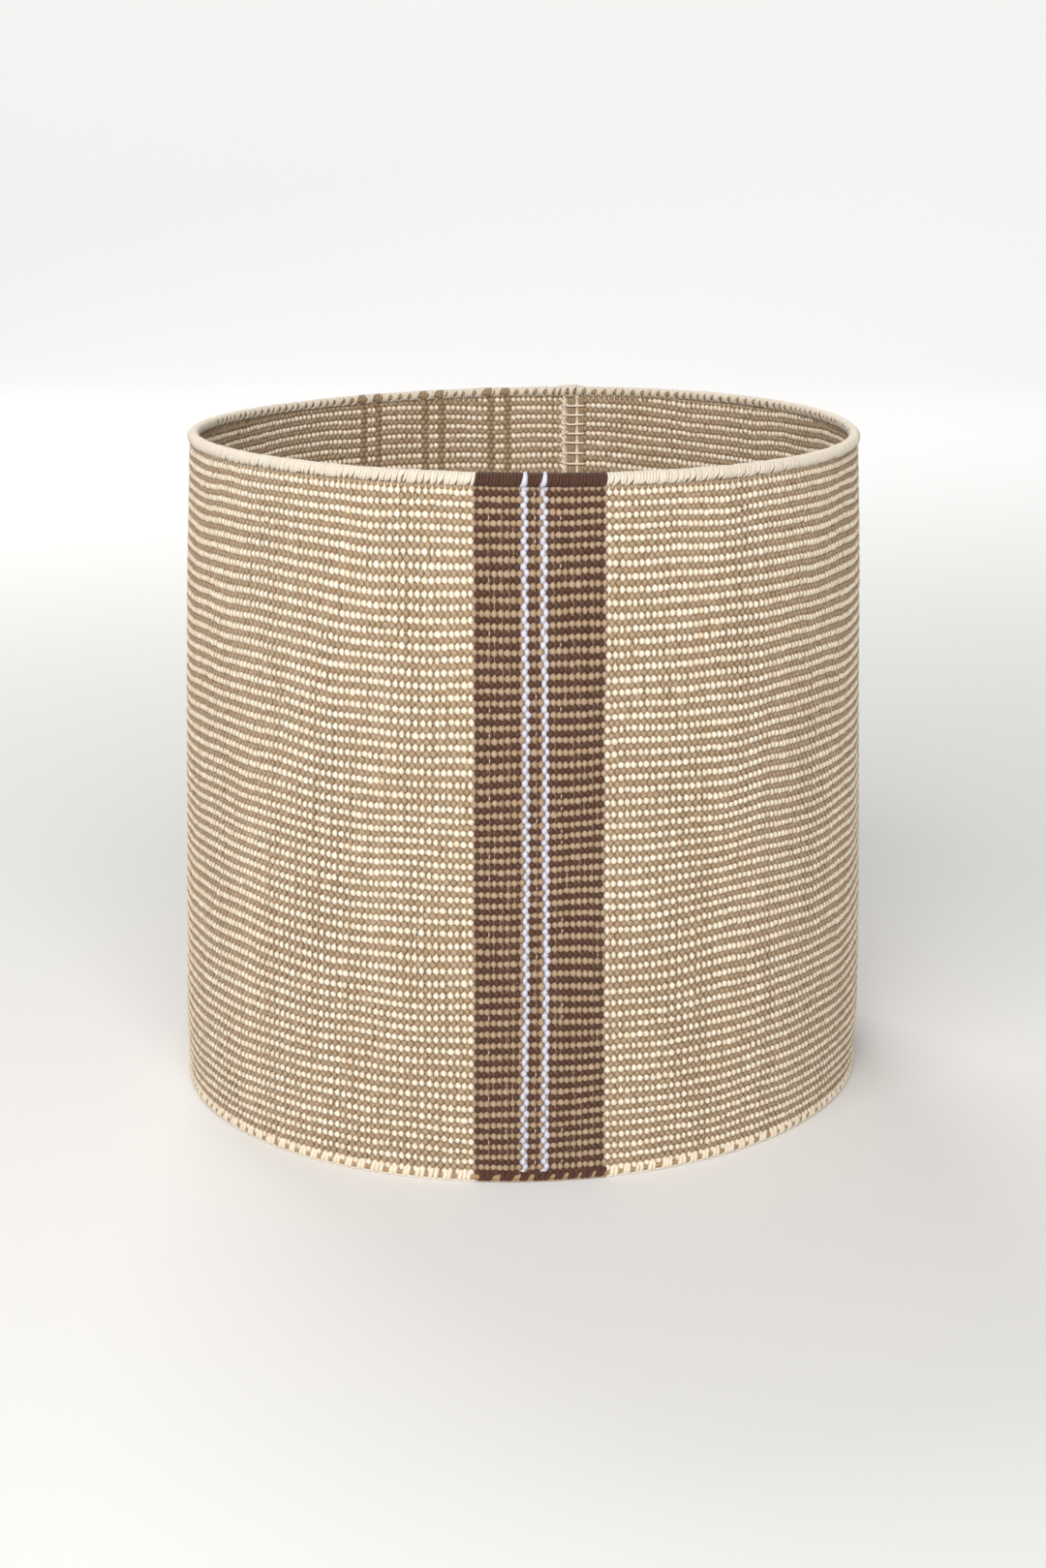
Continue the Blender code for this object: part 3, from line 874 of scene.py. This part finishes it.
def make_selvedge():
    """The thick selvedge: strands twisted together, with the cross yarns' loops round them."""
    start, end = node_turns("seam_cord_left")
    middle = (start + end) / 2
    picks = seam_picks()
    phase = picks / SELVEDGE_COIL_PICKS * FULL_TURN
    phase = phase + (np.arange(SELVEDGE_STRANDS) * FULL_TURN / SELVEDGE_STRANDS)[:, None]
    knots = np.linspace(0, PICKS, CREAM_ROWS)
    drift = np.interp(picks, knots, rng.normal(0, 0.25 * MM, len(knots)))
    aside = SELVEDGE_COIL_RADIUS * np.cos(phase) + drift
    turn = middle + aside / RIM_LINE_RADIUS
    path = on_wall(turn, seam_height(picks) + 0 * phase, 1.3 * SELVEDGE_COIL_RADIUS * np.sin(phase))
    size = SELVEDGE_STRAND_RADIUS * (1 + 0.1 * np.sin(picks * 2.3) + 0 * phase)
    rings = sweep(path, across(turn), size, size, WRAP_SIDES)
    add_seam_piece("seam_cord_left_strands", rings, "cream", 0.6, "seam_cord_left")
    rows = np.arange(2, PICKS, 2.0)
    rows = rows + rng.normal(0, 0.12, len(rows))
    widths = SELVEDGE_COIL_RADIUS + SELVEDGE_STRAND_RADIUS * rng.uniform(0.75, 1.1, len(rows))
    rings = loop_rings(middle, rows, widths, 2.05 * MM, 0.6 * MM, 0.5)
    piece = add_tubes("seam_cord_left_loops", rings, MATERIALS["cream"], 0.7, closed=True)


def loop_rings(middle, rows, half_width, half_depth, radius, tilt):
    """Rings of flat loops of yarn round the cloth's edge, one for each row."""
    angle = (np.arange(LOOP_STEPS) * FULL_TURN / LOOP_STEPS)[None]
    flat_sine = np.sign(np.sin(angle)) * np.abs(np.sin(angle)) ** 0.6
    aside = np.reshape(half_width, (-1, 1)) * np.cos(angle)
    turn = middle + aside / RIM_LINE_RADIUS
    lean = rng.normal(0, tilt * MM, (len(rows), 1)) * np.cos(angle)
    path = on_wall(turn, seam_height(rows)[:, None] + lean, half_depth * flat_sine)
    up = np.broadcast_to([0.0, 0.0, 1.0], path.shape)
    size = np.full(turn.shape, radius)
    return closed_sweep(path, up, size, size, 5)


def make_lacing():
    """The tan yarns and the thin selvedge among them, with a thread across at each cream row."""
    start, end = node_turns("seam_lacing")
    thin_start, thin_end = node_turns("seam_cord_right")
    last_pair = thin_start - PAIR_TURN
    picks = seam_picks()
    thread_row = (0.5 + 0.5 * np.cos(math.pi * picks)) ** 3
    shares = np.array([0.2, 0.55, 0.86])
    turns = np.concatenate([start + (end - start) * shares, thin_start - PAIR_TURN * LAST_YARNS])
    turn = turns[:, None] + 0 * picks
    path = on_wall(turn, seam_height(picks) + 0 * turn, 0 * turn)
    wide = (1.45 - 0.35 * thread_row) * MM * np.array([1, 1, 1, 0.8, 0.8])[:, None]
    thick = (1.75 - 0.7 * thread_row) * MM * np.array([1, 1, 0.7, 0.9, 0.9])[:, None]
    rings = sweep(path, across(turn), wide, thick, 8)
    add_seam_piece("seam_lacing_yarns", rings[:3], "tan", 0.45, "seam_lacing")
    add_seam_piece("ground_cloth_right_last_yarns", rings[3:], "tan", 0.45, "ground_cloth_right")
    turn = (thin_start + thin_end) / 2 + 0 * picks
    path = on_wall(turn, seam_height(picks), 0 * turn)
    wide = (1.0 + 0.7 * thread_row) * MM
    thick = (1.85 + 0.4 * thread_row) * MM
    rings = sweep(path, across(turn), wide, thick, 8)
    add_seam_piece("seam_cord_right_yarn", rings, "cream", 0.6, "seam_cord_right")
    rows = np.arange(2, PICKS, 2.0)
    middle = (last_pair + end) / 2
    half = (end - last_pair) / 2 * RIM_LINE_RADIUS + rng.normal(0, 0.2 * MM, len(rows))
    rings = loop_rings(middle, rows, half, 1.95 * MM, 0.72 * MM, 0.12)
    piece = add_tubes("seam_threads", rings, MATERIALS["cream"], 0.7, closed=True)


# Loose threads and fibres
STRAY_THREAD_PLACES = (2, 4, 5, 9, 12, 15, 16, 18)
SPECK_PLACES = (2, 9, 13)
STRAY_OUT = 1.2 * MM
STRAY_RADIUS = 0.14 * MM
SPECKS_PER_PAIR = 14
STRIPE_PAIRS = 20
FIBRES = 2600
SPECKS = 70


def stripe_turns(places):
    """Turns of places between the stripe's pairs, counted from its left edge."""
    start = node_turns("stripe_cloth_left")[0]
    end = node_turns("stripe_cloth_right")[1]
    return start + np.array(places) * (end - start) / STRIPE_PAIRS


def make_stray_threads():
    """Thin tan threads that cross the brown rows of the stripe, and bright specks on a few."""
    picks = np.arange(0.5, PICKS, 0.5)[None]
    turn = stripe_turns(STRAY_THREAD_PLACES)[:, None] + 0 * picks
    height = woven_height(picks, turn)
    turn = crowded(turn, height) + rng.normal(0, 0.1 * MM / RIM_LINE_RADIUS, turn.shape)
    path = on_wall(turn, height, STRAY_OUT + rng.normal(0, 0.06 * MM, turn.shape))
    size = np.full(turn.shape, STRAY_RADIUS)
    rings = sweep(path, across(turn), size, size, 5)
    piece = add_tubes("stripe_threads", rings, MATERIALS["dark_tan"], 0.9)
    cream_rows = np.arange(1, PICKS, 2)
    rows = np.concatenate([rng.choice(cream_rows, SPECKS_PER_PAIR, False) for _ in SPECK_PLACES])
    turn = np.repeat(stripe_turns(SPECK_PLACES), SPECKS_PER_PAIR)[:, None]
    picks = rows[:, None] + np.array([-0.34, -0.1, 0.12, 0.34])
    turn = turn + 0 * picks
    height = woven_height(picks, turn)
    path = on_wall(crowded(turn, height), height, STRAY_OUT + 0.2 * MM + 0 * turn)
    size = np.array([0.1, 0.24, 0.24, 0.1]) * MM + 0 * turn
    rings = sweep(path, across(turn), size, size, 5)
    piece = add_tubes("stripe_specks", rings, MATERIALS["cream"], 0.7)


def hair_rings(count, least, most, radius, stand):
    """Rings of short bent fibres on both faces of the wall."""
    turn = rng.uniform(0, FULL_TURN, (count, 1))
    height = rng.uniform(FIRST_ROW_HEIGHT, LAST_ROW_HEIGHT, (count, 1))
    side = np.where(rng.uniform(0, 1, (count, 1)) < 0.65, 1, -1)
    length = rng.uniform(least, most, (count, 1))
    aim = rng.uniform(0, FULL_TURN, (count, 1))
    bend = rng.normal(0, 0.9, (count, 1))
    share = np.linspace(0, 1, 4)[None]
    bearing = aim + bend * share
    aside = length * share * np.cos(bearing)
    rise = length * share * np.sin(bearing)
    out = side * (1.3 * MM + stand * length * share * rng.uniform(0.2, 1, (count, 1)))
    turn = turn + aside / RIM_LINE_RADIUS
    path = on_wall(turn, height + rise, out)
    outwards = np.stack([np.sin(turn), -np.cos(turn), 0 * turn], -1)
    size = radius * np.array([1, 0.9, 0.7, 0.4]) + 0 * turn
    return sweep(path, outwards, size, size, 3)


def make_fibres():
    """Fine hairs of the yarn, and a few dark specks caught in the weave."""
    piece = add_tubes("fibres", hair_rings(FIBRES, 2 * MM, 5 * MM, 0.045 * MM, 0.35), MATERIALS["cream"], 0.6)
    piece = add_tubes("specks", hair_rings(SPECKS, 1 * MM, 2.4 * MM, 0.16 * MM, 0.1), MATERIALS["brown"], 0.3)


def make_stage():
    """A pale floor that curves up into a backdrop."""
    half_width, front, back, bend, top = 6.0, -5.0, 3.0, 1.5, 4.0
    arc = [(back + bend * math.sin(a), bend * (1 - math.cos(a))) for a in np.linspace(0, QUARTER_TURN, 24)]
    profile = [(front, 0.0), *arc, (back + bend, top)]
    points = [(x, y, z) for y, z in profile for x in (-half_width, half_width)]
    faces = [(2 * i, 2 * i + 1, 2 * i + 3, 2 * i + 2) for i in range(len(profile) - 1)]
    mesh = bpy.data.meshes.new("studio_floor")
    mesh.from_pydata(points, [], faces)
    mesh.shade_smooth()
    nodes = Nodes("pale_floor")
    nodes.shader.inputs["Base Color"].default_value = (*linear(FLOOR_GREY), 1.0)
    nodes.shader.inputs["Roughness"].default_value = 0.9
    place = nodes.add("ShaderNodeTexCoord").outputs["Object"]
    far = nodes.add("ShaderNodeVectorMath", operation="LENGTH", Vector=place).outputs["Value"]
    share = nodes.add("ShaderNodeMapRange", interpolation_type="SMOOTHSTEP")
    nodes.put(share.inputs["Value"], far)
    share.inputs["From Min"].default_value = 0.3
    share.inputs["From Max"].default_value = back
    share.inputs["To Max"].default_value = BACKDROP_GLOW
    seen = nodes.add("ShaderNodeLightPath").outputs["Is Camera Ray"]
    glow = nodes.maths("MULTIPLY", share.outputs["Result"], seen)
    nodes.shader.inputs["Emission Color"].default_value = (1.0, 1.0, 1.0, 1.0)
    nodes.put(nodes.shader.inputs["Emission Strength"], glow)
    mesh.materials.append(nodes.material)
    floor = bpy.data.objects.new("studio_floor", mesh)
    bpy.context.scene.collection.objects.link(floor)


def add_light(name, place, aim, size, power):
    """A square soft light that looks at a point."""
    lamp = bpy.data.lights.new(name, "AREA")
    lamp.size = size
    lamp.energy = power
    light = bpy.data.objects.new(name, lamp)
    light.location = place
    light.rotation_mode = "QUATERNION"
    light.rotation_quaternion = (Vector(aim) - Vector(place)).to_track_quat("-Z", "Y")
    bpy.context.scene.collection.objects.link(light)


def make_lights():
    """Soft light from high in front, mostly from the left, and some from behind."""
    world = bpy.data.worlds.new("studio_light")
    bpy.context.scene.world = world
    world.use_nodes = True
    background = world.node_tree.nodes["Background"]
    background.inputs["Color"].default_value = (1.0, 0.99, 0.97, 1.0)
    seen = world.node_tree.nodes.new("ShaderNodeLightPath").outputs["Is Camera Ray"]
    strength = world.node_tree.nodes.new("ShaderNodeMapRange")
    strength.inputs["To Min"].default_value = WORLD_LIGHT
    strength.inputs["To Max"].default_value = WORLD_SEEN
    world.node_tree.links.new(seen, strength.inputs["Value"])
    world.node_tree.links.new(strength.outputs["Result"], background.inputs["Strength"])
    middle = (0.0, 0.0, 0.17)
    add_light("key", (-0.8, -1.9, 1.6), middle, 1.6, 30.5)
    add_light("high", (0.2, -2.55, 1.95), middle, 2.0, 61.5)
    add_light("back", (-0.7, 1.9, 2.1), middle, 1.2, 30.0)


def make_camera():
    """The photograph's view."""
    data = bpy.data.cameras.new("photo_camera")
    data.lens = CAMERA_LENS
    data.sensor_width = CAMERA_SENSOR
    camera = bpy.data.objects.new("photo_camera", data)
    camera.location = CAMERA_PLACE
    camera.rotation_euler = (QUARTER_TURN - CAMERA_PITCH, 0.0, 0.0)
    bpy.context.scene.collection.objects.link(camera)
    bpy.context.scene.camera = camera


make_camera()
make_stage()
make_lights()
make_warps()
make_weft()
make_rim()
make_foot()
make_cords()
make_base()
make_selvedge()
make_lacing()
make_stray_threads()
make_fibres()

bpy.context.scene.view_settings.view_transform = "Standard"
